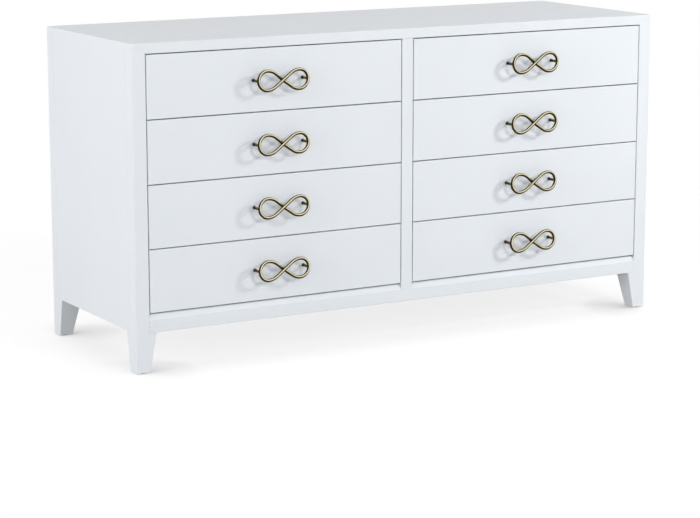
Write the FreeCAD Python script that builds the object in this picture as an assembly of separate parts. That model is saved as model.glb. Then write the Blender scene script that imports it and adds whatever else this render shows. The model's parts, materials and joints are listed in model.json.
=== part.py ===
import FreeCAD, Part
import math
import os

from FreeCAD import Vector

# A double chest of drawers in white lacquered wood. Two banks of four inset drawers stand side by side
# in a case with square corner posts, tapered legs and a top mitred into the posts. Each drawer has a
# figure-eight brass pull and runs on a pair of three-member telescopic slides.
# Lengths are in millimetres. +Z is up, +X runs to the viewer's right and the drawers open towards -Y.
# The origin is on the floor, under the middle of the whole piece, pulls included.

# Case, over all
CASE_W = 1524.0
CASE_D = 508.0
CASE_H = 800.0

# Corner posts and the legs that they run down into
POST_W = 36.0
LEG_H = 100.0  # floor to the underside of the aprons
LEG_FLARE = 19.0  # how far the leg's shoulder stands out past the post
LEG_FOOT_W = 36.0

# Panels and rails of the case
TOP_T = 25.5
SIDE_T = 20.0
BOTTOM_T = 14.0
BOTTOM_SETBACK = 8.0  # the bottom's bevelled front edge leans back to this far behind the front
PARTITION_T = 18.0
STILE_W = 32.0
STILE_D = 36.0
APRON_H = 32.0
APRON_T = 22.0
BACK_T = 6.0
BACK_SETBACK = 12.0  # the back lies this far inside the rear face
BACK_LAP = 10.0  # how far the back runs into the rabbets of the rear posts
CORNER_BLOCK_L = 90.0
CLEAT_H = 50.0

# Softened edges, and the fine grooves that show where lacquered pieces meet
EDGE_R = 1.5
SCORE_R = 0.6

# Drawers
ROWS = 4
BANKS = {"left": -1, "right": 1}
DRAWER_GAP = 2.5
FRONT_T = 20.0
BOX_T = 12.0
BOX_RAISE = 14.0  # drawer box above the lower edge of its front
BOX_TOP_ROOM = 25.0  # drawer box below the upper edge of its front
BOX_BACK_ROOM = 20.0  # drawer box to the back panel
BOX_BOTTOM_T = 6.0
BOX_BOTTOM_RAISE = 10.0
BOX_GROOVE = 6.0
TAILS = 3
HALF_PIN = 7.5  # from the edge of a drawer side to the root of its first dovetail
TAIL_ROOT_SHARE = 0.6  # of the spacing of the dovetails
TAIL_FLARE_SHARE = 1 / 6  # of the board's thickness, on each side of a tail

# Telescopic slides: three nested channels on each side of a drawer
SLIDE_SPACE = 12.7  # from the case's inner face to the drawer box
SLIDE_H = 45.0
SLIDE_SHEET = 1.2
SLIDE_CLEAR = 0.3
SLIDE_LIP_ROOM = 1.7  # from the channels' lips to the drawer box
SLIDE_HEAD_ROOM = 0.7  # from a screw head to the member that passes it
SLIDE_NEST_ROOM = 0.6  # from the inner member's lips to the middle member's web
SLIDE_SETBACK = 2.0  # slides start behind the drawer front
SLIDE_BACK_ROOM = 18.0  # slides end short of the back panel
SLIDE_RAISE = 45.0  # middle of the slides above the drawer box's lower edge
SLIDE_SCREW_SHARES = (0.15, 0.85)  # of the slide's length
SIDE_SCREW_SHARE = 0.8  # of the drawer side's thickness

# Figure-eight pull on two posts
PULL_SPAN = 136.0  # between the posts
PULL_H = 55.5
PULL_SLOPE = 37.0  # degrees, of the strands where they cross
PULL_WIRE_D = 8.0
PULL_POST_D = 7.0
PULL_PROJECTION = 32.0

# Foot glides
GLIDE_D = 24.0
GLIDE_T = 3.0
GLIDE_STEM_D = 5.0
GLIDE_STEM_L = 16.0

# Dowels and screws. A bite is the depth that a screw enters the second piece.
BORE_CLEAR = 0.15
DOWEL_D = 8.0
DOWEL_L = 40.0
APRON_DOWEL_SHARES = (0.28, 0.72)  # of the apron's height
SIDE_DOWEL_SHARES = (0.08, 0.36, 0.64, 0.9)  # of the side panel's height
PULL_SCREW_D = 4.0
PULL_SCREW_HEAD_D = 8.0
PULL_SCREW_HEAD_T = 2.5
PULL_SCREW_BITE = 10.0
FRONT_SCREW_D = 4.0
FRONT_SCREW_HEAD_D = 8.0
FRONT_SCREW_HEAD_T = 2.2
FRONT_SCREW_BITE = 12.0
FRONT_SCREW_X_SHARES = (-0.4, 0.4)  # of the drawer box's width
FRONT_SCREW_Z_SHARES = (0.3, 0.8)  # of the drawer box's height
SLIDE_SCREW_D = 3.5
SLIDE_SCREW_HEAD_D = 7.0
SLIDE_SCREW_HEAD_T = 1.5
SLIDE_SCREW_BITE = 10.0
BACK_SCREW_D = 3.5
BACK_SCREW_HEAD_D = 8.0
BACK_SCREW_HEAD_T = 2.0
BACK_SCREW_BITE = 14.0
BACK_SCREW_Z_SHARES = (0.04, 0.27, 0.5, 0.73, 0.96)  # of the back panel's height
BACK_SCREW_X_SHARES = (-0.42, -0.25, -0.08, 0.08, 0.25, 0.42)  # of the back panel's width

# Cutting tools run past what they cut by OVERRUN, and points closer than TOUCH count as one
OVERRUN = 5.0
TOUCH = 0.001

# Places that follow from the sizes
FRONT_Y = (PULL_PROJECTION - CASE_D) / 2
BACK_Y = FRONT_Y + CASE_D
MID_Y = (FRONT_Y + BACK_Y) / 2
LEFT_X = -CASE_W / 2
RIGHT_X = CASE_W / 2
APRON_TOP_Z = LEG_H + APRON_H
BOTTOM_TOP_Z = APRON_TOP_Z + BOTTOM_T
TOP_UNDER_Z = CASE_H - TOP_T
BACK_OUTER_Y = BACK_Y - BACK_SETBACK
BACK_INNER_Y = BACK_OUTER_Y - BACK_T
BACK_W = CASE_W - 2 * (POST_W - BACK_LAP)

BANK_W = (CASE_W - STILE_W) / 2 - POST_W
BANK_X = (STILE_W + BANK_W) / 2
FRONT_W = BANK_W - 2 * DRAWER_GAP
FRONT_H = (TOP_UNDER_Z - BOTTOM_TOP_Z - (ROWS + 1) * DRAWER_GAP) / ROWS
ROW_PITCH = FRONT_H + DRAWER_GAP
BOX_W = BANK_W - 2 * SLIDE_SPACE
BOX_END_Y = BACK_INNER_Y - FRONT_Y - BOX_BACK_ROOM
BOX_TOP = FRONT_H - BOX_TOP_ROOM
BOX_H = BOX_TOP - BOX_RAISE

# Slide places, measured from the bank's left wall towards the drawer, and from the front plane back
SLIDE_WALL_X = -BANK_W / 2
SLIDE_LIP_X = SLIDE_WALL_X + SLIDE_SPACE - SLIDE_LIP_ROOM
SLIDE_MIDDLE_X = SLIDE_WALL_X + SLIDE_SHEET + SLIDE_SCREW_HEAD_T + SLIDE_HEAD_ROOM
SLIDE_INNER_LIP_X = SLIDE_MIDDLE_X + SLIDE_SHEET + SLIDE_NEST_ROOM
SLIDE_STEP = 2 * (SLIDE_SHEET + SLIDE_CLEAR)
SLIDE_Y = FRONT_T + SLIDE_SETBACK
SLIDE_END_Y = BACK_INNER_Y - FRONT_Y - SLIDE_BACK_ROOM
SLIDE_Z = BOX_RAISE + SLIDE_RAISE

X_AXIS = Vector(1, 0, 0)
Y_AXIS = Vector(0, 1, 0)
Z_AXIS = Vector(0, 0, 1)
ORIGIN = Vector(0, 0, 0)
SIDES = (-1, 1)  # to the left and to the right


# Shape helpers

def block(x0, x1, y0, y1, z0, z1):
    """A box between two corners, given in any order."""
    low = Vector(min(x0, x1), min(y0, y1), min(z0, z1))
    return Part.makeBox(abs(x1 - x0), abs(y1 - y0), abs(z1 - z0), low)


def prism(points, depth):
    """A straight-edged outline pushed along the vector depth."""
    outline = Part.makePolygon(points + points[:1])
    return Part.Face(outline).extrude(depth)


def rod(start, direction, length, diameter):
    return Part.makeCylinder(diameter / 2, length, start, direction)


def one_solid(shape):
    """The single solid that a cut or a fuse leaves."""
    if len(shape.Solids) != 1:
        raise ValueError("expected one solid, found %d" % len(shape.Solids))
    return shape.Solids[0]


def cut_by(shape, tools):
    """Cut a solid by those tools that reach it."""
    near = [tool for tool in tools if shape.BoundBox.intersect(tool.BoundBox)]
    return one_solid(shape.cut(near)) if near else shape


def eased(shape, wanted):
    """Round the edges that pass the test with the common edge radius."""
    return one_solid(shape.makeFillet(EDGE_R, [edge for edge in shape.Edges if wanted(edge)]))


def lies_at(edge, axis, place):
    """True where the whole edge lies in the plane at place on the axis."""
    return all(abs(corner.Point.dot(axis) - place) < TOUCH for corner in edge.Vertexes)


def runs(edge, axis):
    """True where the edge goes further along the axis than across it."""
    ends = edge.Vertexes[-1].Point.sub(edge.Vertexes[0].Point)
    along = abs(ends.dot(axis))
    return along > math.sqrt(max(ends.Length ** 2 - along ** 2, 0))


def mirrored_x(shape):
    return shape.mirror(ORIGIN, X_AXIS)


def mirrored_y(shape):
    return shape.mirror(Vector(0, MID_Y, 0), Y_AXIS)


def four_corners(shape):
    """A shape at the front left corner and its copies at the other three."""
    front = [shape, mirrored_x(shape)]
    return front + [mirrored_y(one) for one in front]


def screw(seat, direction, diameter, length, head_d, head_t):
    """A screw whose head sits on the point seat and whose shank enters along direction."""
    shank = rod(seat, direction, length, diameter)
    head = rod(seat, direction.negative(), head_t, head_d)
    return one_solid(shank.fuse(head).removeSplitter())


def bore(seat, direction, diameter, length):
    """The clear hole round a shank or a dowel of the given size."""
    start = seat.sub(Vector(direction).multiply(BORE_CLEAR))
    return rod(start, direction, length + 2 * BORE_CLEAR, diameter + 2 * BORE_CLEAR)


def score(start, end):
    """A fine round groove along a joint in the surface."""
    line = end.sub(start)
    step = Vector(line).normalize().multiply(OVERRUN)
    return rod(start.sub(step), line, line.Length + 2 * OVERRUN, 2 * SCORE_R)


# Case

def case_envelope():
    """The whole case as one block with softened outer edges."""
    blank = block(LEFT_X, RIGHT_X, FRONT_Y, BACK_Y, 0, CASE_H)
    return eased(blank, lambda edge: not lies_at(edge, Z_AXIS, 0))


def top_blank():
    """The top, square-edged, with its ends mitred from the outer edge to the posts' inner faces."""
    outline = [
        Vector(LEFT_X, FRONT_Y, CASE_H),
        Vector(RIGHT_X, FRONT_Y, CASE_H),
        Vector(RIGHT_X - POST_W, FRONT_Y, TOP_UNDER_Z),
        Vector(LEFT_X + POST_W, FRONT_Y, TOP_UNDER_Z),
    ]
    return prism(outline, Vector(0, CASE_D, 0))


def joint_scores():
    """Grooves at the mitres of the top, and between the posts and the side panels."""
    mitre = score(Vector(LEFT_X, FRONT_Y, CASE_H), Vector(LEFT_X + POST_W, FRONT_Y, TOP_UNDER_Z))
    post_y = FRONT_Y + POST_W
    side = score(Vector(LEFT_X, post_y, LEG_H), Vector(LEFT_X, post_y, CASE_H))
    return four_corners(mitre) + four_corners(side)


def front_left_leg(top, envelope):
    """A square post that runs down into a leg, wide at its shoulder and tapered on its inner faces."""
    shoulder = POST_W + LEG_FLARE
    post = block(LEFT_X, LEFT_X + POST_W, FRONT_Y, FRONT_Y + POST_W, LEG_H, CASE_H)
    seen_from_front = [
        Vector(LEFT_X, FRONT_Y, GLIDE_T),
        Vector(LEFT_X + LEG_FOOT_W, FRONT_Y, GLIDE_T),
        Vector(LEFT_X + shoulder, FRONT_Y, LEG_H),
        Vector(LEFT_X, FRONT_Y, LEG_H),
    ]
    seen_from_side = [
        Vector(LEFT_X, FRONT_Y, GLIDE_T),
        Vector(LEFT_X, FRONT_Y + LEG_FOOT_W, GLIDE_T),
        Vector(LEFT_X, FRONT_Y + shoulder, LEG_H),
        Vector(LEFT_X, FRONT_Y, LEG_H),
    ]
    across = prism(seen_from_front, Vector(0, shoulder, 0))
    along = prism(seen_from_side, Vector(shoulder, 0, 0))
    leg = post.fuse(across.common(along)).removeSplitter().cut(top)

    def shows(edge):
        upright = runs(edge, Z_AXIS)
        on_front = lies_at(edge, Y_AXIS, FRONT_Y) and not lies_at(edge, X_AXIS, LEFT_X)
        on_side = lies_at(edge, X_AXIS, LEFT_X) and not lies_at(edge, Y_AXIS, FRONT_Y)
        return upright and (on_front or (on_side and edge.CenterOfMass.z < LEG_H))

    return one_solid(eased(one_solid(leg), shows).common(envelope))


def side_panel(top, envelope):
    """The left side, flush with the posts and cut to the slope of the top's mitre."""
    panel = block(LEFT_X, LEFT_X + SIDE_T, FRONT_Y + POST_W, BACK_Y - POST_W, LEG_H, CASE_H)
    return one_solid(panel.cut(top).common(envelope))


def top_panel(top, envelope):
    def shows(edge):
        return lies_at(edge, Y_AXIS, FRONT_Y) and lies_at(edge, Z_AXIS, TOP_UNDER_Z)

    return one_solid(eased(top, shows).common(envelope))


def front_apron():
    rail = block(LEFT_X + POST_W, RIGHT_X - POST_W, FRONT_Y, FRONT_Y + APRON_T, LEG_H, APRON_TOP_Z)
    return eased(rail, lambda edge: lies_at(edge, Y_AXIS, FRONT_Y) and runs(edge, X_AXIS))


def centre_stile():
    stile = block(-STILE_W / 2, STILE_W / 2, FRONT_Y, FRONT_Y + STILE_D, APRON_TOP_Z, TOP_UNDER_Z)
    return eased(stile, lambda edge: lies_at(edge, Y_AXIS, FRONT_Y) and runs(edge, Z_AXIS))


def post_places():
    """Square columns where the four posts stand."""
    post = block(LEFT_X, LEFT_X + POST_W, FRONT_Y, FRONT_Y + POST_W, 0, CASE_H)
    return four_corners(post)


def bottom_panel():
    """The case's floor, notched round the posts and the stile. Its front edge is bevelled, from the
    rounded edge of the apron up and back to below the drawers."""
    front = FRONT_Y + BOTTOM_SETBACK
    outline = [
        Vector(LEFT_X + SIDE_T, FRONT_Y + EDGE_R, APRON_TOP_Z),
        Vector(LEFT_X + SIDE_T, front, BOTTOM_TOP_Z),
        Vector(LEFT_X + SIDE_T, BACK_INNER_Y, BOTTOM_TOP_Z),
        Vector(LEFT_X + SIDE_T, BACK_INNER_Y, APRON_TOP_Z),
    ]
    panel = prism(outline, Vector(CASE_W - 2 * SIDE_T, 0, 0))

    def shows(edge):
        return lies_at(edge, Y_AXIS, front) and lies_at(edge, Z_AXIS, BOTTOM_TOP_Z)

    stile = block(-STILE_W / 2, STILE_W / 2, FRONT_Y, FRONT_Y + STILE_D, 0, CASE_H)
    return cut_by(eased(panel, shows), post_places() + [stile])


def centre_partition():
    half = PARTITION_T / 2
    return block(-half, half, FRONT_Y + STILE_D, BACK_INNER_Y, BOTTOM_TOP_Z, TOP_UNDER_Z)


def back_panel():
    return block(-BACK_W / 2, BACK_W / 2, BACK_INNER_Y, BACK_OUTER_Y, APRON_TOP_Z, TOP_UNDER_Z)


def back_rabbet():
    """What the rear posts lose so that the back can be laid in from behind."""
    return block(-BACK_W / 2, BACK_W / 2, BACK_INNER_Y, BACK_Y + OVERRUN, APRON_TOP_Z, TOP_UNDER_Z)


def corner_blocks():
    """Three-sided blocks behind the aprons, notched round the posts."""
    inner_x = LEFT_X + SIDE_T
    inner_y = FRONT_Y + APRON_T
    outline = [
        Vector(inner_x, inner_y, LEG_H),
        Vector(inner_x + CORNER_BLOCK_L, inner_y, LEG_H),
        Vector(inner_x, inner_y + CORNER_BLOCK_L, LEG_H),
    ]
    wedge = prism(outline, Vector(0, 0, APRON_H))
    return four_corners(cut_by(wedge, post_places()))


def foot_glides():
    """Round glides with a stem that is driven into each foot."""
    centre = Vector(LEFT_X + LEG_FOOT_W / 2, FRONT_Y + LEG_FOOT_W / 2, 0)
    disc = rod(centre, Z_AXIS, GLIDE_T, GLIDE_D)
    stem = rod(centre, Z_AXIS, GLIDE_T + GLIDE_STEM_L, GLIDE_STEM_D)
    return four_corners(one_solid(disc.fuse(stem).removeSplitter()))


def glide_bores():
    seat = Vector(LEFT_X + LEG_FOOT_W / 2, FRONT_Y + LEG_FOOT_W / 2, GLIDE_T)
    return four_corners(bore(seat, Z_AXIS, GLIDE_STEM_D, GLIDE_STEM_L))


def dowels(make):
    """Dowels across the joints of the posts with the aprons and with the side panels."""
    made = []
    for share in APRON_DOWEL_SHARES:
        start = Vector(LEFT_X + POST_W - DOWEL_L / 2, FRONT_Y + APRON_T / 2, LEG_H + share * APRON_H)
        made += four_corners(make(start, X_AXIS))
    for share in SIDE_DOWEL_SHARES:
        height = LEG_H + share * (CASE_H - LEG_H)
        start = Vector(LEFT_X + SIDE_T / 2, FRONT_Y + POST_W - DOWEL_L / 2, height)
        made += four_corners(make(start, Y_AXIS))
    return made


def dowel(start, direction):
    return rod(start, direction, DOWEL_L, DOWEL_D)


def dowel_bore(start, direction):
    return bore(start, direction, DOWEL_D, DOWEL_L)


def back_screw_seats():
    """Points on the back panel over the posts, the partition and the bottom's rear edge."""
    seats = []
    post_x = (BACK_W - BACK_LAP) / 2
    for x in (-post_x, 0, post_x):
        for share in BACK_SCREW_Z_SHARES:
            seats.append(Vector(x, BACK_OUTER_Y, BOTTOM_TOP_Z + share * (TOP_UNDER_Z - BOTTOM_TOP_Z)))
    for share in BACK_SCREW_X_SHARES:
        seats.append(Vector(share * BACK_W, BACK_OUTER_Y, APRON_TOP_Z + BOTTOM_T / 2))
    return seats


def back_screws():
    inwards = Y_AXIS.negative()
    length = BACK_T + BACK_SCREW_BITE
    sizes = (BACK_SCREW_D, length, BACK_SCREW_HEAD_D, BACK_SCREW_HEAD_T)
    return [screw(seat, inwards, *sizes) for seat in back_screw_seats()]


def back_screw_bores():
    length = BACK_T + BACK_SCREW_BITE
    return [bore(seat, Y_AXIS.negative(), BACK_SCREW_D, length) for seat in back_screw_seats()]


# Slides

def channel(web_x, lip_x, height):
    """A folded channel at the left of a drawer, with its web at web_x and its open side at lip_x."""
    inwards = math.copysign(SLIDE_SHEET, lip_x - web_x)
    half = height / 2
    bar = block(web_x, lip_x, SLIDE_Y, SLIDE_END_Y, SLIDE_Z - half, SLIDE_Z + half)
    hollow_half = half - SLIDE_SHEET
    hollow = block(
        web_x + inwards, lip_x + inwards,
        SLIDE_Y - OVERRUN, SLIDE_END_Y + OVERRUN,
        SLIDE_Z - hollow_half, SLIDE_Z + hollow_half,
    )
    return one_solid(bar.cut(hollow))


def slide_screw_places():
    """Distances back from the front plane at which the slides are screwed on."""
    return [SLIDE_Y + share * (SLIDE_END_Y - SLIDE_Y) for share in SLIDE_SCREW_SHARES]


def outer_seats():
    return [Vector(SLIDE_WALL_X + SLIDE_SHEET, y, SLIDE_Z) for y in slide_screw_places()]


def inner_seats():
    web_x = SLIDE_WALL_X + SLIDE_SPACE - SLIDE_SHEET
    return [Vector(web_x, y, SLIDE_Z) for y in slide_screw_places()]


def pair(shape):
    """A slide piece at a drawer's left and its mirror image at the right."""
    return [shape, mirrored_x(shape)]


def outer_members():
    bores = [bore(seat, X_AXIS.negative(), SLIDE_SCREW_D, SLIDE_SHEET) for seat in outer_seats()]
    return pair(cut_by(channel(SLIDE_WALL_X, SLIDE_LIP_X, SLIDE_H), bores))


def middle_members():
    return pair(channel(SLIDE_MIDDLE_X, SLIDE_LIP_X, SLIDE_H - SLIDE_STEP))


def inner_members():
    bores = [bore(seat, X_AXIS, SLIDE_SCREW_D, SLIDE_SHEET) for seat in inner_seats()]
    web_x = SLIDE_WALL_X + SLIDE_SPACE
    return pair(cut_by(channel(web_x, SLIDE_INNER_LIP_X, SLIDE_H - 2 * SLIDE_STEP), bores))


def outer_screws():
    sizes = (SLIDE_SCREW_D, SLIDE_SHEET + SLIDE_SCREW_BITE, SLIDE_SCREW_HEAD_D, SLIDE_SCREW_HEAD_T)
    screws = []
    for seat in outer_seats():
        screws += pair(screw(seat, X_AXIS.negative(), *sizes))
    return screws


def outer_screw_bores():
    length = SLIDE_SHEET + SLIDE_SCREW_BITE
    bores = []
    for seat in outer_seats():
        bores += pair(bore(seat, X_AXIS.negative(), SLIDE_SCREW_D, length))
    return bores


def inner_screw_length():
    return SLIDE_SHEET + SIDE_SCREW_SHARE * BOX_T


def inner_screws():
    sizes = (SLIDE_SCREW_D, inner_screw_length(), SLIDE_SCREW_HEAD_D, SLIDE_SCREW_HEAD_T)
    screws = []
    for seat in inner_seats():
        screws += pair(screw(seat, X_AXIS, *sizes))
    return screws


def inner_screw_bores():
    bores = []
    for seat in inner_seats():
        bores += pair(bore(seat, X_AXIS, SLIDE_SCREW_D, inner_screw_length()))
    return bores


def slide_cleats():
    """Battens that fill out the side panels and the partition to the posts and the stile."""
    cleats = []
    for row in range(1, ROWS + 1):
        middle = row_z(row) + SLIDE_Z
        heights = (middle - CLEAT_H / 2, middle + CLEAT_H / 2)
        for side in SIDES:
            wall = (side * (RIGHT_X - SIDE_T), side * (RIGHT_X - POST_W))
            cleats.append(block(*wall, FRONT_Y + POST_W, BACK_Y - POST_W, *heights))
            inner = (side * PARTITION_T / 2, side * STILE_W / 2)
            cleats.append(block(*inner, FRONT_Y + STILE_D, BACK_INNER_Y, *heights))
    return cleats


# Drawers, each drawn about the middle of its bank, from the front plane back and its lower edge up

def row_z(row):
    """Height of the lower edge of a drawer front; row 1 is the top row."""
    return TOP_UNDER_Z - row * ROW_PITCH


def placed(shapes, bank, row):
    move = Vector(BANKS[bank] * BANK_X, FRONT_Y, row_z(row))
    return [shape.translated(move) for shape in shapes]


def pull_screw_seats():
    return [Vector(side * PULL_SPAN / 2, FRONT_T + BOX_T, FRONT_H / 2) for side in SIDES]


def front_screw_seats():
    seats = []
    for x_share in FRONT_SCREW_X_SHARES:
        for z_share in FRONT_SCREW_Z_SHARES:
            seats.append(Vector(x_share * BOX_W, FRONT_T + BOX_T, BOX_RAISE + z_share * BOX_H))
    return seats


def pull_screw_length():
    return BOX_T + FRONT_T + PULL_SCREW_BITE


def pull_screws():
    sizes = (PULL_SCREW_D, pull_screw_length(), PULL_SCREW_HEAD_D, PULL_SCREW_HEAD_T)
    return [screw(seat, Y_AXIS.negative(), *sizes) for seat in pull_screw_seats()]


def pull_screw_bores():
    return [bore(seat, Y_AXIS.negative(), PULL_SCREW_D, pull_screw_length()) for seat in pull_screw_seats()]


def front_screws():
    sizes = (FRONT_SCREW_D, BOX_T + FRONT_SCREW_BITE, FRONT_SCREW_HEAD_D, FRONT_SCREW_HEAD_T)
    return [screw(seat, Y_AXIS.negative(), *sizes) for seat in front_screw_seats()]


def front_screw_bores():
    length = BOX_T + FRONT_SCREW_BITE
    return [bore(seat, Y_AXIS.negative(), FRONT_SCREW_D, length) for seat in front_screw_seats()]


def drawer_front():
    """A flush front with softened front edges."""
    board = block(-FRONT_W / 2, FRONT_W / 2, 0, FRONT_T, 0, FRONT_H)
    front = eased(board, lambda edge: lies_at(edge, Y_AXIS, 0))
    return cut_by(front, pull_screw_bores() + front_screw_bores())


def dovetails(shoulder_y, end_y):
    """The tails at one end of the left drawer side, wider at their ends than at their roots."""
    spacing = (BOX_H - 2 * HALF_PIN) / (TAILS - 1 + TAIL_ROOT_SHARE)
    root = spacing * TAIL_ROOT_SHARE / 2
    end = root + BOX_T * TAIL_FLARE_SHARE
    tails = []
    for tail in range(TAILS):
        middle = BOX_RAISE + HALF_PIN + root + spacing * tail
        outline = [
            Vector(-BOX_W / 2, shoulder_y, middle - root),
            Vector(-BOX_W / 2, end_y, middle - end),
            Vector(-BOX_W / 2, end_y, middle + end),
            Vector(-BOX_W / 2, shoulder_y, middle + root),
        ]
        tails.append(prism(outline, Vector(BOX_T, 0, 0)))
    return tails


def drawer_box():
    """Two sides with tails, an inner front and a back with pins, and a bottom let into grooves."""
    half = BOX_W / 2
    front_shoulder = FRONT_T + BOX_T
    back_shoulder = BOX_END_Y - BOX_T
    tails = dovetails(front_shoulder, FRONT_T) + dovetails(back_shoulder, BOX_END_Y)
    plain = block(-half, BOX_T - half, front_shoulder, back_shoulder, BOX_RAISE, BOX_TOP)
    left = one_solid(plain.fuse(tails).removeSplitter())
    both_tails = tails + [mirrored_x(tail) for tail in tails]
    inner_front = block(-half, half, FRONT_T, front_shoulder, BOX_RAISE, BOX_TOP)
    back = block(-half, half, back_shoulder, BOX_END_Y, BOX_RAISE, BOX_TOP)
    inset = BOX_T - BOX_GROOVE
    bottom_z = BOX_RAISE + BOX_BOTTOM_RAISE
    bottom = block(
        inset - half, half - inset,
        FRONT_T + inset, BOX_END_Y - inset,
        bottom_z, bottom_z + BOX_BOTTOM_T,
    )
    bores = inner_screw_bores() + pull_screw_bores() + front_screw_bores()
    sides = [cut_by(side, [bottom] + bores) for side in pair(left)]
    ends = [cut_by(end, both_tails + [bottom] + bores) for end in (inner_front, back)]
    return sides + ends + [bottom]


def wire_bend(start, direction, middle, angle):
    """Wire bent about an upright circle's middle, clockwise seen from the front."""
    section = Part.Face(Part.Wire(Part.makeCircle(PULL_WIRE_D / 2, start, direction)))
    return section.revolve(middle, Y_AXIS, angle)


def pull():
    """One casting: a wire in a figure eight, on a post at the far end of each loop. A loop is half a
    circle, and a wider arc eases each strand from the crossing to the top or the foot of it."""
    wire_y = PULL_WIRE_D / 2 - PULL_PROJECTION
    centre = Vector(0, wire_y, FRONT_H / 2)
    loop_r = (PULL_H - PULL_WIRE_D) / 2
    loop_x = PULL_SPAN / 2 - loop_r
    slope = math.radians(PULL_SLOPE)
    fall = 1 - math.cos(slope)
    ease_r = (loop_x * math.sin(slope) - loop_r * math.cos(slope)) / fall
    straight = (loop_r * math.sin(slope) - loop_x * fall) / fall
    strand = Vector(math.cos(slope), 0, math.sin(slope)).multiply(straight)
    ease = wire_bend(centre.add(strand), strand, centre.add(Vector(loop_x, 0, loop_r - ease_r)), PULL_SLOPE)
    loop_top = centre.add(Vector(loop_x, 0, loop_r))
    loop = wire_bend(loop_top, X_AXIS, centre.add(Vector(loop_x, 0, 0)), 180)
    crossing = rod(centre.sub(strand), strand, 2 * straight, PULL_WIRE_D)
    post = rod(Vector(PULL_SPAN / 2, wire_y, FRONT_H / 2), Y_AXIS, -wire_y, PULL_POST_D)
    half = [ease, ease.mirror(centre, Z_AXIS), crossing, post]
    pieces = half + [mirrored_x(piece) for piece in [loop] + half]
    return cut_by(one_solid(loop.fuse(pieces).removeSplitter()), pull_screw_bores())


# The pieces, by name

def case_pieces():
    """Names and solids of everything that stands still."""
    top = top_blank()
    envelope = case_envelope()
    scores = joint_scores()
    screw_bores = back_screw_bores()
    frame_bores = dowels(dowel_bore) + glide_bores() + screw_bores
    leg = front_left_leg(top, envelope)
    legs = dict(zip(("front_left", "front_right", "rear_left", "rear_right"), four_corners(leg)))
    cleats = slide_cleats()
    members = []
    member_screws = []
    member_bores = []
    for bank in BANKS:
        for row in range(1, ROWS + 1):
            members += placed(outer_members(), bank, row)
            member_screws += placed(outer_screws(), bank, row)
            member_bores += placed(outer_screw_bores(), bank, row)
    side = side_panel(top, envelope)
    pieces = {
        "top_panel": [cut_by(top_panel(top, envelope), scores)],
        "left_side_panel": [cut_by(side, scores + frame_bores + member_bores)],
        "right_side_panel": [cut_by(mirrored_x(side), scores + frame_bores + member_bores)],
        "front_apron": [cut_by(front_apron(), frame_bores)],
        "rear_apron": [cut_by(mirrored_y(front_apron()), frame_bores)],
        "bottom_panel": [cut_by(bottom_panel(), screw_bores)],
        "centre_partition": [cut_by(centre_partition(), screw_bores + member_bores)],
        "centre_stile": [centre_stile()],
        "back_panel": [cut_by(back_panel(), screw_bores)],
        "corner_blocks": corner_blocks(),
        "foot_glides": foot_glides(),
        "frame_dowels": dowels(dowel),
        "back_panel_screws": back_screws(),
        "slide_cleats": [cut_by(cleat, member_bores) for cleat in cleats],
        "slide_outer_members": members,
        "slide_screws": member_screws,
    }
    for place, solid in legs.items():
        rabbet = [back_rabbet()] if place.startswith("rear") else []
        pieces[place + "_leg"] = [cut_by(solid, scores + frame_bores + rabbet)]
    return pieces


def drawer_pieces():
    """Names and solids of the eight drawers and of the middle slide members that follow them."""
    kinds = {
        "front": [drawer_front()],
        "box": drawer_box(),
        "pull": [pull()] + pull_screws(),
        "hardware": inner_members() + inner_screws() + front_screws(),
        "slide_middle": middle_members(),
    }
    pieces = {}
    for bank in BANKS:
        for row in range(1, ROWS + 1):
            for kind, solids in kinds.items():
                pieces["drawer_%s_%d_%s" % (bank, row, kind)] = placed(solids, bank, row)
    return pieces


def main():
    os.makedirs("parts", exist_ok=True)
    for name, solids in {**case_pieces(), **drawer_pieces()}.items():
        shape = solids[0] if len(solids) == 1 else Part.makeCompound(solids)
        shape.exportStep("parts/%s.step" % name)


main()
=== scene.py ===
import json
import math
import random

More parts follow.
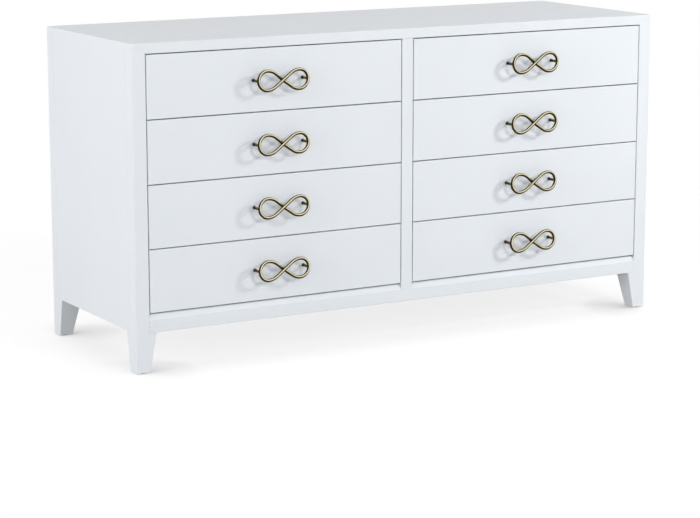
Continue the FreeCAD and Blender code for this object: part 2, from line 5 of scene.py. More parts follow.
import bmesh
import bpy
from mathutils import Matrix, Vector

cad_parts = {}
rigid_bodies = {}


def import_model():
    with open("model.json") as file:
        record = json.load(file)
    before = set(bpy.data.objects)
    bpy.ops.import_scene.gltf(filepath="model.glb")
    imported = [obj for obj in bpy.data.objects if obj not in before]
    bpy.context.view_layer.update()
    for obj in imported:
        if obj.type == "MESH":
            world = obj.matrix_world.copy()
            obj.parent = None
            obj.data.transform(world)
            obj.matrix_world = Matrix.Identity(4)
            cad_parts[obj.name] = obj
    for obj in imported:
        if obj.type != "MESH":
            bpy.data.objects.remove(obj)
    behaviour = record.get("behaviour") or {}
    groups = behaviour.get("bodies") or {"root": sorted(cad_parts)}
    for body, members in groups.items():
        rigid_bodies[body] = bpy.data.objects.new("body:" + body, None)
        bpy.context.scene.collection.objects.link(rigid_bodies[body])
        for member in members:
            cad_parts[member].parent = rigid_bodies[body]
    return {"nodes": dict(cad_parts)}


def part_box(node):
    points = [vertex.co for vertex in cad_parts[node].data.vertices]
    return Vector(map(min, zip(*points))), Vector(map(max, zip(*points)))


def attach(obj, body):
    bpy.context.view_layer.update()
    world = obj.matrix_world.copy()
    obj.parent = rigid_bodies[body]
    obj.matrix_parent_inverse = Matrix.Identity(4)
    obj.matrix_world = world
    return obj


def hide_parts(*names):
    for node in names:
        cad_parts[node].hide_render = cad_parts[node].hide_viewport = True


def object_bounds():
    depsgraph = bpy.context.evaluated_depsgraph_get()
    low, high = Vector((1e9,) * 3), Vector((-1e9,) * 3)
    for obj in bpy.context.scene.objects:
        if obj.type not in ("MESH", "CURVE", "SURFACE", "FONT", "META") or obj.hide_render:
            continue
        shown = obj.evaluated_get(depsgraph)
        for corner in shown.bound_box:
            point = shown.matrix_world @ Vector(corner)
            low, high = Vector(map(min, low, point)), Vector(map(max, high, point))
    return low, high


bl_info = {
    "name": "Double chest of drawers",
    "version": (1, 0, 0),
    "blender": (4, 5, 0),
    "location": "3D View > Sidebar > Chest",
    "description": "Finishes, pulls, drawer boxes and runners of a lacquered double chest of drawers",
    "category": "Object",
}

# the start-up file's own objects go first, so that the box is the chest's alone
for leftover in list(bpy.data.objects):
    bpy.data.objects.remove(leftover)
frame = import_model()
CAD_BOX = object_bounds()

# Lengths are in metres. The chest faces -Y, +X is to the viewer's right and +Z is up.
MM = 0.001
TOUCH = 0.001 * MM  # points closer than this are one point
X, Y, Z = range(3)
SHARP_ANGLE = math.radians(32)  # smooth shading stops at edges sharper than this
FLAT_ANGLE = math.radians(1)  # faces that meet at less than this are one face

DRAWERS = ["%s_%d" % (bank, row) for bank in ("left", "right") for row in (1, 2, 3, 4)]
LACQUERED = (
    "top_panel", "left_side_panel", "right_side_panel", "front_left_leg", "front_right_leg",
    "rear_left_leg", "rear_right_leg", "front_apron", "rear_apron", "centre_stile", "back_panel",
)
PLAIN_WOOD = ("centre_partition", "corner_blocks", "slide_cleats", "frame_dowels")

# Sizes of one drawer, taken from the frame. All eight are alike.
FRONT_LOW, FRONT_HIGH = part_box("drawer_left_1_front")
BOX_LOW, BOX_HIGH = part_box("drawer_left_1_box")
PULL_LOW, PULL_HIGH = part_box("drawer_left_1_pull")
WIRE_D = 8 * MM

# Shape of the pulls
ARC_POINTS = 48
RING_POINTS = 224
WIRE_SIDES = 20
POST_RINGS = 14
CROSSING_REACH = 19 * MM  # from the crossing to where the rear strand is back in line
BEHIND_SHARE = 0.5  # of the ring's path; before it lies the strand that passes behind
FLARE_SHARE = 0.72  # of the post's length; past it the post swells into its foot

# Sums that shape a pull: a name, an operation and its terms, which are inputs, earlier sums or numbers.
# x and y are a point's place, first on a unit arc, and along is its share of the path.
PULL_SUMS = (
    ("half wire", "MULTIPLY", "Wire", 0.5),
    ("half span", "MULTIPLY", "Span", 0.5),
    ("across", "MULTIPLY", "Span", -1.0),
    ("post radius", "MULTIPLY", "Post", 0.5),
    ("foot radius", "MULTIPLY", "Foot", 0.5),
    ("ring y", "SUBTRACT", "half wire", "Projection"),
    ("loop height", "SUBTRACT", "Height", "Wire"),
    ("loop radius", "MULTIPLY", "loop height", 0.5),
    ("loop middle", "SUBTRACT", "half span", "loop radius"),
    ("rise", "SINE", "Slope"),
    ("run", "COSINE", "Slope"),
    ("fall", "SUBTRACT", 1.0, "run"),
    ("lifted", "MULTIPLY", "loop middle", "rise"),
    ("drawn", "MULTIPLY", "loop radius", "run"),
    ("spare", "SUBTRACT", "lifted", "drawn"),
    ("easing radius", "DIVIDE", "spare", "fall"),
    ("reach", "ADD", "Slope", math.pi / 2),
    ("start", "MULTIPLY", "reach", -1.0),
    ("sweep", "MULTIPLY", "reach", 2.0),
    ("eased", "LESS_THAN", "x", 0.0),
    ("upper", "SIGN", "y"),
    ("wider", "SUBTRACT", "easing radius", "loop radius"),
    ("added", "MULTIPLY", "eased", "wider"),
    ("radius", "ADD", "loop radius", "added"),
    ("sunk", "MULTIPLY", "upper", "added"),
    ("arc x", "MULTIPLY_ADD", "radius", "x", "loop middle"),
    ("raised", "MULTIPLY", "radius", "y"),
    ("arc z", "SUBTRACT", "raised", "sunk"),
    ("behind", "LESS_THAN", "along", BEHIND_SHARE),
    ("from crossing", "ABSOLUTE", "x"),
    ("out", "DIVIDE", "y", "ring y"),
)

# How far the brass is rubbed bright, with a painted highlight on the crest and a painted dark reflection on
# the flanks. One is the line along the wire that faces the rubbed and lit side.
RUB_AND_HIGHLIGHT_SIDE = Vector((0.06, -0.86, 0.5)).normalized()  # the way that hands and cloth come from, and the way the painted highlight faces, towards the lamps at the upper front
DARK_RUB_AND_REFLECTION, HALF_RUB_AND_LIGHT, BRIGHT_RUB_AND_HIGHLIGHT = 0.86, 0.93, 0.965
FOOT_RUB_AND_SHADE, TIP_RUB_AND_LIGHT = 0.83, 0.90  # of a post, on the flank; the low value at the foot is partly painted shade by the drawer front
POST_RUB_AND_LIGHT_SPREAD = 0.08  # added on the rubbed and lit side of a post

# Shape of the screws. Profiles are (radius, height) points.
SCREW_SIDES = 16
HEAD_FROM = 0.9  # of the head's radius; points past it are the head's
SHANK_TO = 0.7  # of the head's radius; points within it are the shank's
HEAD_CROWN = ((0, -1), (0.72, -1), (0.93, -0.8), (1, -0.45), (1, 0))  # of the head's radius and height
RECESS_WIDTH_SHARE = 0.15  # of the head's diameter
RECESS_LENGTH_SHARE = 0.6  # of the head's diameter
RECESS_DEPTH_SHARE = 0.6  # of the head's height
RECESS_FLOOR, RECESS_MOUTH = 0.7, 1.1  # of the recess's width
MOUTH_SPARE = 0.3  # of the recess's depth; the cutter stands out by it
QUARTER_TURNS = ((1, 0), (0, 1), (-1, 0), (0, -1))  # cosine and sine

# Shape of the runners and the glides
RUNNER_SHEET = 1.2 * MM
RUNNER_BEND = 2.4 * MM
RUNNER_HEM = 0.3 * RUNNER_SHEET
RUNNER_LEAST = 20 * MM  # what is taller among a drawer's hardware is a runner
BEND_STEPS = 5
GLIDE_SIDES = 40
GLIDE_STEM_R = 2.5 * MM
GLIDE_TIP = 0.4  # of the stem's radius
GLIDE_RIM = ((0, 0), (0.82, 0), (0.95, 0.18), (1, 0.5), (1, 1))  # of the disc's radius and height
RIM_FROM = 0.8  # of the disc's radius; points past it are the rim's

# Shape and grain of the drawer boxes
TAIL_ROOT_SHARE = 0.6  # of the tails' spacing
EASE_STEPS = 2
GRAIN_SHIFTS = ((0, 4), (0.05, 0.2), (0.03, 0.12))  # along, across and through the board's tree

# Where the lamps stand: the way to a lamp from the chest's middle, its distance and its width
LAMPS = {
    "key": ((0.155, -0.915, 0.366), 6.5, 1.0),
    "rake": ((0.70, -0.58, 0.42), 3.7, 0.5),
    "fill": ((-0.42, -0.88, 0.22), 5.0, 3.4),
    "side": ((-0.94, -0.16, 0.28), 4.6, 3.2),
    "back": ((-0.10, 0.99, 0.06), 4.5, 2.0),
    "right": ((0.99, 0.12, 0.06), 4.5, 2.0),
}
SENSOR_WIDTH = 36  # millimetres
WALL_FOOT_FADE = (0.06, 0.16)  # sines of the angles over the floor between which the wall foot's light ends

# The floor and the shadows painted on it
FLOOR_R, FLOOR_SIDES = 30, 96
HALO_REACH, HALO_SHADE = 300 * MM, 0.945
FOOT_REACH, FOOT_SHADE = 130 * MM, 0.3
FOOT_SHADOW_AWAY_FROM = (0.8, -0.25, 0.45)  # the way, by a right foot, away from which its painted shadow falls
FADE_START, FADE_END = 1.2, 2.4
WHITE = (1, 1, 1, 1)


def linear(code):
    """Linear colour of an sRGB hex value."""
    shares = [int(code[i:i + 2], 16) / 255 for i in (1, 3, 5)]
    return tuple(s / 12.92 if s <= 0.04045 else ((s + 0.055) / 1.055) ** 2.4 for s in shares)


# Settings

def colour(name, description, code):
    """A colour that a user can change."""
    return bpy.props.FloatVectorProperty(
        name=name, description=description, subtype="COLOR", size=3, min=0, max=1, default=linear(code))


def length(name, description, default):
    """A length that a user can change."""
    return bpy.props.FloatProperty(name=name, description=description, unit="LENGTH", default=default)


def lamp_power(name, description, default):
    """A lamp's power that a user can change."""
    return bpy.props.FloatProperty(name=name, description=description, unit="POWER", default=default)


def brightness(name, description, default):
    """A brightness that a user can change, where one is white."""
    return bpy.props.FloatProperty(name=name, description=description, min=0, default=default)


class ChestFinish(bpy.types.PropertyGroup):
    """Colours of the finishes"""
    lacquer: colour("Lacquer", "Sprayed lacquer on the case and the drawer fronts", "#E9EEF4")
    lacquer_cloud: colour("Lacquer cloud", "Lacquer where the coat lies a little thinner", "#E4E9EF")
    maple: colour("Maple", "Early wood of the drawer boxes", "#E2C9A2")
    maple_late: colour("Maple late wood", "Late wood of the drawer boxes", "#C9A473")
    birch: colour("Birch", "Early wood of the hidden frame pieces", "#DCC49C")
    birch_late: colour("Birch late wood", "Late wood of the hidden frame pieces", "#C2A274")
    # the bright brass is partly a painted highlight, and the patina partly a painted dark reflection on the
    # wire's flanks
    brass: colour("Brass", "Brass where hands and cloth keep it bright", "#F3E9C4")
    brass_mid: colour("Half-rubbed brass", "Brass between the bright crest and the dark flanks", "#87773E")
    brass_patina_and_dark_reflection: colour("Brass patina", "Darkened brass on the flanks of the wire", "#33290F")
    zinc: colour("Zinc", "Zinc plating on the runners and the screws", "#C4C8CB")
    nylon: colour("Nylon", "Moulded glides under the feet", "#4A4744")


class ChestPull(bpy.types.PropertyGroup):
    """Sizes of the figure-eight pulls"""
    wire: length("Wire", "Diameter of the ring's wire", WIRE_D)
    span: length("Span", "Distance between the two posts", PULL_HIGH.x - PULL_LOW.x - WIRE_D)
    height: length("Height", "Height of a loop over its wire", PULL_HIGH.z - PULL_LOW.z)
    projection: length(
        "Projection", "How far the ring stands out from the drawer front", FRONT_LOW.y - PULL_LOW.y)
    post: length("Post", "Diameter of a post", 7 * MM)
    foot: length("Post foot", "Diameter of a post where it meets the drawer front", 9 * MM)
    slope: bpy.props.FloatProperty(
        name="Slope", description="How steeply the strands run where they cross", subtype="ANGLE",
        default=math.radians(37))
    setback: length("Crossing set-back", "How far the rear strand dips behind the front one", 5.5 * MM)


class ChestJoinery(bpy.types.PropertyGroup):
    """Sizes of the dovetailed drawer boxes"""
    board: length("Board", "Thickness of the sides and the ends", 12 * MM)
    floor: length("Floor", "Thickness of the drawer's bottom", 6 * MM)
    floor_raise: length("Floor raise", "Lower edge of the sides to the drawer's bottom", 10 * MM)
    half_pin: length("Half pin", "From a board's edge to the root of its first tail", 7.5 * MM)
    tail_flare: length("Tail flare", "How much a tail widens on each side", 2 * MM)
    tails: bpy.props.IntProperty(name="Tails", description="Dovetails at each corner", min=1, default=3)
    ease: length("Eased edge", "Width of the sanded edges", 0.5 * MM)


class ChestStage(bpy.types.PropertyGroup):
    """Camera and lights"""
    lens: bpy.props.FloatProperty(
        name="Lens", description="Focal length on a 36 mm wide sensor", unit="CAMERA", default=117.24)
    camera_place: bpy.props.FloatVectorProperty(
        name="Camera place", description="Where the camera stands", subtype="TRANSLATION",
        default=(-2.9987, -5.1139, 1.3522))
    camera_turn: bpy.props.FloatVectorProperty(
        name="Camera turn", description="How the camera is turned", subtype="EULER",
        default=(math.radians(78.709), 0, math.radians(-30.137)))
    key: lamp_power("Key light", "Softbox before the front, a little to the right", 82)
    rake: lamp_power("Rake light", "Small near softbox at the right, whose light rakes the front", 46)
    fill: lamp_power("Fill light", "Large softbox before the front, to the left", 34)
    side: lamp_power("Side light", "Large softbox at the left", 96)
    back: lamp_power("Back light", "Low softbox behind the chest", 95)
    right: lamp_power("Right light", "Low softbox beside the right end", 30)
    ambient: brightness("Ambient", "Brightness of the room above the chest", 0.29)
    wall_foot: brightness("Wall foot", "Brightness of the room's walls near the floor", 1.0)
    floor_glow: brightness("Floor glow", "Share of white that the floor shows by itself", 0.82)
    floor_bounce: colour("Floor bounce", "Colour of the light that the floor throws back", "#BEBCB7")
    floor_shade: colour("Floor shade", "How the floor near the chest takes the lamps' light", "#898989")


# Node trees

def fill_inputs(tree, node, inputs):
    """Give a node's inputs, by name or by place, a value, a link or several links."""
    for key, value in inputs.items():
        for one in value if isinstance(value, list) else [value]:
            if isinstance(one, bpy.types.Node):
                one = one.outputs[0]
            if isinstance(one, bpy.types.NodeSocket):
                tree.links.new(one, node.inputs[key])
            else:
                node.inputs[key].default_value = one


def add_node(tree, kind, inputs=(), stops=(), **settings):
    """Add a node with its settings, its inputs as values or links, and the stops of a colour ramp."""
    node = tree.nodes.new(kind)
    for name, value in settings.items():
        setattr(node, name, value)
    for place, (position, shade) in enumerate(stops):
        ramp = node.color_ramp.elements
        stop = ramp[place] if place < len(ramp) else ramp.new(position)
        stop.position = position
        stop.color = (*shade, 1)
    fill_inputs(tree, node, inputs if isinstance(inputs, dict) else dict(enumerate(inputs)))
    return node


def new_tree(name, sockets):
    """An empty geometry tree with named inputs, and its input node."""
    tree = bpy.data.node_groups.new(name, "GeometryNodeTree")
    tree.interface.new_socket("Geometry", in_out="OUTPUT", socket_type="NodeSocketGeometry")
    for socket, kind in sockets.items():
        tree.interface.new_socket(socket, in_out="INPUT", socket_type="NodeSocket" + kind)
    return tree, tree.nodes.new("NodeGroupInput")


def end_tree(tree, shape, finish):
    """End a geometry tree in plain faces with their finish."""
    real = add_node(tree, "GeometryNodeRealizeInstances", {"Geometry": shape})
    dressed = add_node(tree, "GeometryNodeSetMaterial", {"Geometry": real, "Material": finish})
    add_node(tree, "NodeGroupOutput", [dressed])
    return tree


def in_scene(name, data):
    """A new object in the scene."""
    thing = bpy.data.objects.new(name, data)
    bpy.context.scene.collection.objects.link(thing)
    return thing


def settled(carrier):
    """The plain mesh that an object's modifiers give. The object goes, and its modifiers with it."""
    depsgraph = bpy.context.evaluated_depsgraph_get()
    shape = carrier.evaluated_get(depsgraph)
    mesh = bpy.data.meshes.new_from_object(shape, preserve_all_data_layers=True, depsgraph=depsgraph)
    carrier.modifiers.clear()
    bpy.data.objects.remove(carrier)
    return mesh


def grown(tree, mesh, values):
    """The plain mesh that a tree makes from a starting mesh and its named inputs."""
    carrier = in_scene("carrier", mesh)
    modifier = carrier.modifiers.new("grow", "NODES")
    modifier.node_group = tree
    for socket in tree.interface.items_tree:
        if socket.in_out == "INPUT" and socket.name in values:
            modifier[socket.identifier] = values[socket.name]
    made = settled(carrier)
    if not made.polygons:
        raise RuntimeError("the tree %s made no faces" % tree.name)
    return made


# Materials

def blank_material(name):
    """A material with its tree and its shader."""
    material = bpy.data.materials.new(name)
    material.use_nodes = True
    return material, material.node_tree, material.node_tree.nodes["Principled BSDF"]


def deeper(shade, share):
    """A darker tone of a colour."""
    return [share * part for part in shade]


def mottled(name, shades, cloud, sheen, marks, stretch=(1.0, 1.0, 1.0), **uniform):
    """A surface that drifts between two shades, with a drifting sheen and fine marks. Each drift starts
    with its width and detail. The sheen's least and greatest roughness follow, or the marks' strength and
    depth. stretch draws out the sheen and the marks."""
    material, tree, shader = blank_material(name)
    place = add_node(tree, "ShaderNodeTexCoord").outputs["Object"]
    drawn_out = add_node(tree, "ShaderNodeMapping", {"Vector": place, "Scale": stretch})
    clouds, rubbed, grit = [
        add_node(tree, "ShaderNodeTexNoise", {"Vector": way, "Scale": 1 / drift[0], "Detail": drift[1]})
        for way, drift in ((place, cloud), (drawn_out, sheen), (drawn_out, marks))]
    tone = add_node(
        tree, "ShaderNodeMix", {0: clouds, 6: (*shades[0], 1), 7: (*shades[1], 1)}, data_type="RGBA")
    gloss = add_node(tree, "ShaderNodeMapRange", {"Value": rubbed, "To Min": sheen[2], "To Max": sheen[3]})
    skin = add_node(tree, "ShaderNodeBump", {"Height": grit, "Strength": marks[2], "Distance": marks[3]})
    fill_inputs(tree, shader, {
        "Base Color": tone.outputs[2], "Roughness": gloss, "Normal": skin, **uniform})
    return material


def satin_lacquer(name, finish):
    """Sprayed white lacquer, rubbed to a satin. The coat lies flat with a faint orange peel, and its
    sheen and whiteness drift a little over a hand's breadth."""
    # real orange peel is about 1 mm across; 3 mm is the finest that shows from a step away
    return mottled(
        name, (finish.lacquer, finish.lacquer_cloud), cloud=(160 * MM, 3.0),
        sheen=(45 * MM, 4.0, 0.26, 0.36), marks=(3 * MM, 1.0, 0.12, 0.05 * MM), IOR=1.5)


def sill_lacquer_painted_shade(finish):
    """The same lacquer on the sill, with painted shade: darker where a drawer stands close over it."""
    material = satin_lacquer("dusty_white_lacquer", finish)
    tree = material.node_tree
    shader = tree.nodes["Principled BSDF"]
    coat = shader.inputs["Base Color"].links[0].from_socket
    # painted shade: the sill's colour darkens where nearby parts hide it, so the gap under the lowest
    # drawers reads dark
    under = add_node(tree, "ShaderNodeAmbientOcclusion", {"Distance": 12 * MM})
    painted_shade = add_node(
        tree, "ShaderNodeMapRange",
        {"Value": under.outputs["AO"], "From Min": 0.25, "From Max": 0.75, "To Min": 0.2, "To Max": 1.0})
    tone = add_node(
        tree, "ShaderNodeMix", {0: 1.0, 6: coat, 7: painted_shade}, data_type="RGBA", blend_type="MULTIPLY")
    fill_inputs(tree, shader, {"Base Color": tone.outputs[2]})
    return material


def planed_wood(name, early, late, place_of, ring, roughness):
    """Planed hardwood. Rings run round a pith beside the board, so that faces show long lines, ends show
    arcs, and short dark pores lie along the grain."""
    material, tree, shader = blank_material(name)
    place = place_of(tree)
    along = add_node(tree, "ShaderNodeMapping", {"Vector": place, "Scale": (0.06, 1.0, 1.0)})
    rings = add_node(
        tree, "ShaderNodeTexWave",
        {"Vector": along, "Scale": math.tau / (20 * ring), "Distortion": 16.0, "Detail": 2.0,
         "Detail Scale": 0.5, "Detail Roughness": 0.6},
        wave_type="RINGS", rings_direction="X")
    flow = add_node(tree, "ShaderNodeTexNoise", {"Vector": along, "Scale": 1 / (16 * MM), "Detail": 5.0})
    drift = add_node(tree, "ShaderNodeMix", {0: 0.68, 2: rings.outputs["Fac"], 3: flow.outputs["Fac"]})
    tone = add_node(tree, "ShaderNodeValToRGB", {"Fac": drift}, stops=[(0.2, early), (0.85, late)])
    streaks = add_node(tree, "ShaderNodeMapping", {"Vector": place, "Scale": (0.04, 1.0, 1.0)})
    # pores are 0.1 mm wide; 0.8 mm is the finest that shows from a step away
    pores = add_node(
        tree, "ShaderNodeTexNoise", {"Vector": streaks, "Scale": 1 / (0.8 * MM), "Detail": 2.0})
    dark = add_node(
        tree, "ShaderNodeMapRange", {"Value": pores, "From Min": 0.6, "From Max": 0.75, "To Max": 0.3})
    grain = add_node(
        tree, "ShaderNodeMix", {0: dark, 6: tone.outputs["Color"], 7: (*deeper(late, 0.45), 1)},
        data_type="RGBA")
    relief = add_node(tree, "ShaderNodeBump", {"Height": pores, "Strength": 0.15, "Distance": 0.1 * MM})
    sheen = add_node(
        tree, "ShaderNodeMapRange", {"Value": pores, "To Min": roughness - 0.06, "To Max": roughness + 0.1})
    fill_inputs(tree, shader, {
        "Base Color": grain.outputs[2], "Roughness": sheen, "Normal": relief, "IOR": 1.5})
    return material


def board_grain(tree):
    """The boards' own coordinates: along the grain, across it and through the thickness."""
    return add_node(tree, "ShaderNodeAttribute", attribute_name="grain").outputs["Vector"]


def depth_grain(tree):
    """Grain that runs from the front of the case to its back."""
    place = add_node(tree, "ShaderNodeTexCoord").outputs["Object"]
    beside_pith = {"Vector": place, "Rotation": (0, 0, math.radians(-90)), "Location": (0.1, 0.13, 0.07)}
    return add_node(tree, "ShaderNodeMapping", beside_pith).outputs[0]


def clear_maple(finish):
    """Maple under a clear coat: pale gold and close in its grain, with a low gloss."""
    return planed_wood("clear_finished_maple", finish.maple, finish.maple_late, board_grain, 7 * MM, 0.42)


def sanded_birch(finish):
    """Birch, sanded and left bare: pale and dull, with wider rings."""
    return planed_wood("sanded_birch", finish.birch, finish.birch_late, depth_grain, 9 * MM, 0.6)


def antique_brass(finish):
    """Cast brass, darkened and then rubbed back. The crest that faces the room is bright and its flanks
    keep a brown patina, with fine rubbing marks over both. The bright crest is partly a painted highlight
    from the lamps at the upper front, and the dark flanks are partly a painted dark reflection."""
    material, tree, shader = blank_material("rubbed_antique_brass")
    place = add_node(tree, "ShaderNodeTexCoord").outputs["Object"]
    crest = add_node(tree, "ShaderNodeAttribute", attribute_name="crest").outputs["Fac"]
    mottle = add_node(tree, "ShaderNodeTexNoise", {"Vector": place, "Scale": 1 / (5 * MM), "Detail": 4.0})
    patches = add_node(tree, "ShaderNodeMapRange", {"Value": mottle, "To Min": -0.015, "To Max": 0.015})
    worn_and_lit = add_node(tree, "ShaderNodeMath", [patches, crest], operation="ADD")
    # painted highlight on the crest and painted dark reflection on the flanks, over real rubbing and patina
    tone = add_node(
        tree, "ShaderNodeValToRGB", {"Fac": worn_and_lit},
        stops=[(DARK_RUB_AND_REFLECTION, finish.brass_patina_and_dark_reflection), (HALF_RUB_AND_LIGHT, finish.brass_mid), (BRIGHT_RUB_AND_HIGHLIGHT, finish.brass)])
    sheen = add_node(
        tree, "ShaderNodeMapRange",
        {"Value": worn_and_lit, "From Min": 0.84, "From Max": 0.96, "To Min": 0.34, "To Max": 0.24})
    # real rubbing marks are finer; 0.6 mm is the finest that shows close by
    marks = add_node(tree, "ShaderNodeTexNoise", {"Vector": place, "Scale": 1 / (0.6 * MM), "Detail": 2.0})
    rub = add_node(tree, "ShaderNodeBump", {"Height": marks, "Strength": 0.08, "Distance": 0.05 * MM})
    fill_inputs(tree, shader, {
        "Base Color": tone.outputs["Color"], "Metallic": 1.0, "Roughness": sheen, "Normal": rub})
    return material


def zinc_plate(finish):
    """Rolled steel with bright zinc plating. Fine lines run the way the strip was rolled, and the plating
    is clouded from light grey to a darker one."""
    return mottled(
        "zinc_plated_steel", (finish.zinc, deeper(finish.zinc, 0.72)), cloud=(14 * MM, 3.0),
        sheen=(0.7 * MM, 3.0, 0.25, 0.42), marks=(0.7 * MM, 3.0, 0.08, 0.05 * MM),
        stretch=(1.0, 0.03, 1.0), Metallic=1.0)


def moulded_nylon(finish):
    """Moulded nylon with the fine matt grain of its mould."""
    return mottled(
        "moulded_nylon", (finish.nylon, deeper(finish.nylon, 0.7)), cloud=(0.8 * MM, 2.0),
        sheen=(0.8 * MM, 2.0, 0.45, 0.62), marks=(0.8 * MM, 2.0, 0.2, 0.1 * MM), IOR=1.53)


# Meshes

def finished(name, mesh, body, slot, *nodes):
    """Put a plain mesh in the scene as a piece that rides on a body and stands for CAD nodes."""
    mesh.name = name
    piece = in_scene(name, mesh)
    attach(piece, body)
    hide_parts(*nodes)
    return piece


def plain_mesh(shape, name):
    """A mesh from a bmesh, which is freed."""
    mesh = bpy.data.meshes.new(name)
    shape.to_mesh(mesh)
    shape.free()
    return mesh


def outward_mesh(shape, name):
    """A mesh from a closed bmesh, which is freed. Its faces point outwards."""
    bmesh.ops.recalc_face_normals(shape, faces=shape.faces)
    return plain_mesh(shape, name)


def smoothed(mesh):
    """Shade a mesh smooth up to its sharp edges."""
    mesh.shade_smooth()
    mesh.set_sharp_from_angle(angle=SHARP_ANGLE)
    return mesh


def skinned(shape, first, second):
    """Faces between two closed rings of points, three-sided ones where a ring is a single point."""
    for side in range(len(first)):
        after = (side + 1) % len(first)
        loop = (first[side], first[after], second[after], second[side])
        shape.faces.new(list(dict.fromkeys(loop)))


def islands(node):
    """The separate solids of a CAD node, each as the points of a welded copy of its mesh."""
    shape = bmesh.new()
    shape.from_mesh(frame["nodes"][node].data)
    bmesh.ops.remove_doubles(shape, verts=shape.verts, dist=TOUCH)
    for vert in shape.verts:
        vert.tag = False
    groups = []
    for first in shape.verts:
        if first.tag:
            continue
        first.tag = True
        group = [first]
        for vert in group:
            for edge in vert.link_edges:
                other = edge.other_vert(vert)
                if not other.tag:
                    other.tag = True
                    group.append(other)
        groups.append([vert.co.copy() for vert in group])
    shape.free()
    return groups


def corners(points):
    """Lowest and highest corner of some points."""
    low = Vector(min(point[axis] for point in points) for axis in (X, Y, Z))
    high = Vector(max(point[axis] for point in points) for axis in (X, Y, Z))
    return low, high


def turned(profile, sides):
    """A closed shape turned about Z from (radius, height) points that start and end on the axis."""
    shape = bmesh.new()
    angles = [math.tau * side / sides for side in range(sides)]
    rings = []
    for radius, height in profile:
        if radius == 0:
            rings.append([shape.verts.new((0, 0, height))] * sides)
        else:
            ways = [(radius * math.cos(angle), radius * math.sin(angle)) for angle in angles]
            rings.append([shape.verts.new((x, y, height)) for x, y in ways])
    for upper, lower in zip(rings, rings[1:]):
        skinned(shape, upper, lower)
    return shape


def seats_mesh(seats):
    """A mesh of bare points, each with the direction in which a copy is to face."""
    mesh = bpy.data.meshes.new("seats")
    mesh.from_pydata([place for place, _ in seats], [], [])
    drive = mesh.attributes.new("drive", "FLOAT_VECTOR", "POINT")
    for entry, (_, direction) in zip(drive.data, seats):
        entry.vector = direction
    return mesh


def copies_tree():
    """Set a copy of one shape on every seat, turned to face along the seat's direction."""
    tree, given = new_tree("copies_on_seats", {
        "Seats": "Geometry", "Shape": "Object", "Twist": "Float", "Finish": "Material"})
    shape = add_node(
        tree, "GeometryNodeObjectInfo", {"Object": given.outputs["Shape"], "As Instance": True})
    drive = add_node(
        tree, "GeometryNodeInputNamedAttribute", {"Name": "drive"}, data_type="FLOAT_VECTOR")
    facing = add_node(tree, "FunctionNodeAlignRotationToVector", {"Vector": drive}, axis="Z")
    twist = add_node(
        tree, "FunctionNodeRandomValue", {2: 0.0, 3: given.outputs["Twist"], "Seed": 7}, data_type="FLOAT")
    roll = add_node(tree, "ShaderNodeCombineXYZ", {"Z": twist.outputs[1]})
    rotation = add_node(
        tree, "FunctionNodeRotateRotation", {"Rotation": facing, "Rotate By": roll}, rotation_space="LOCAL")
    set_out = add_node(tree, "GeometryNodeInstanceOnPoints", {
        "Points": given.outputs["Seats"], "Instance": shape.outputs["Geometry"], "Rotation": rotation})
    return end_tree(tree, set_out, given.outputs["Finish"])


def copies(shape_mesh, seats, finish, twist=0.0):
    """One plain mesh of copies of a shape on its seats."""
    tree = bpy.data.node_groups.get("copies_on_seats") or copies_tree()
    shape = bpy.data.objects.new("shape", shape_mesh)
    made = grown(tree, seats_mesh(seats), {"Shape": shape, "Twist": twist, "Finish": finish})
    bpy.data.objects.remove(shape)
    return made


def joined(meshes, name):
    """One mesh of several that share a single material."""
    shape = bmesh.new()
    for mesh in meshes:
        shape.from_mesh(mesh)
    made = plain_mesh(shape, name)
    made.materials.append(meshes[0].materials[0])
    return made


# Screws

def screw_facts(points):
    """Seat, drive direction and sizes of a CAD screw, read from its points."""
    low, high = corners(points)
    size = high - low
    axis = max((X, Y, Z), key=lambda one: size[one])
    middle = (low + high) / 2
    spans = []
    for point in points:
        away = point - middle
        away[axis] = 0
        spans.append(away.length)
    head_r = max(spans)
    head = [point[axis] for point, span in zip(points, spans) if span > HEAD_FROM * head_r]
    shank_r = max(span for span in spans if span < SHANK_TO * head_r)
    at_high = sum(head) / len(head) > middle[axis]
    seat = middle.copy()
    seat[axis] = min(head) if at_high else max(head)
    drive = Vector((0, 0, 0))
    drive[axis] = -1 if at_high else 1
    head_t = max(head) - min(head)
    return seat, drive, (head_r, head_t, shank_r, size[axis] - head_t)


def screw_mesh(head_r, head_t, shank_r, shank_l):
    """A pan-head screw with a cross recess, its seat at the origin and its shank along +Z."""
    profile = [(radius * head_r, height * head_t) for radius, height in HEAD_CROWN]
    profile += [(shank_r, 0), (shank_r, shank_l - 2 * shank_r), (0, shank_l)]
    body = in_scene("screw", outward_mesh(turned(profile, SCREW_SIDES), "screw"))
    long_half = RECESS_LENGTH_SHARE * head_r
    short_half = RECESS_WIDTH_SHARE * head_r
    deep = RECESS_DEPTH_SHARE * head_t
    outline = []
    for cos, sin in QUARTER_TURNS:
        for x, y in ((short_half, -short_half), (long_half, -short_half), (long_half, short_half)):
            outline.append((x * cos - y * sin, x * sin + y * cos))
    recess = bmesh.new()
    floor = [recess.verts.new((RECESS_FLOOR * x, RECESS_FLOOR * y, deep - head_t)) for x, y in outline]
    mouth_z = -head_t - MOUTH_SPARE * deep
    mouth = [recess.verts.new((RECESS_MOUTH * x, RECESS_MOUTH * y, mouth_z)) for x, y in outline]
    recess.faces.new(floor)
    recess.faces.new(reversed(mouth))
    skinned(recess, floor, mouth)
    cutter = in_scene("recess", outward_mesh(recess, "recess"))
    cut = body.modifiers.new("recess", "BOOLEAN")
    cut.operation = "DIFFERENCE"
    cut.solver = "EXACT"
    cut.object = cutter
    mesh = settled(body)
    bpy.data.objects.remove(cutter)
    return smoothed(mesh)


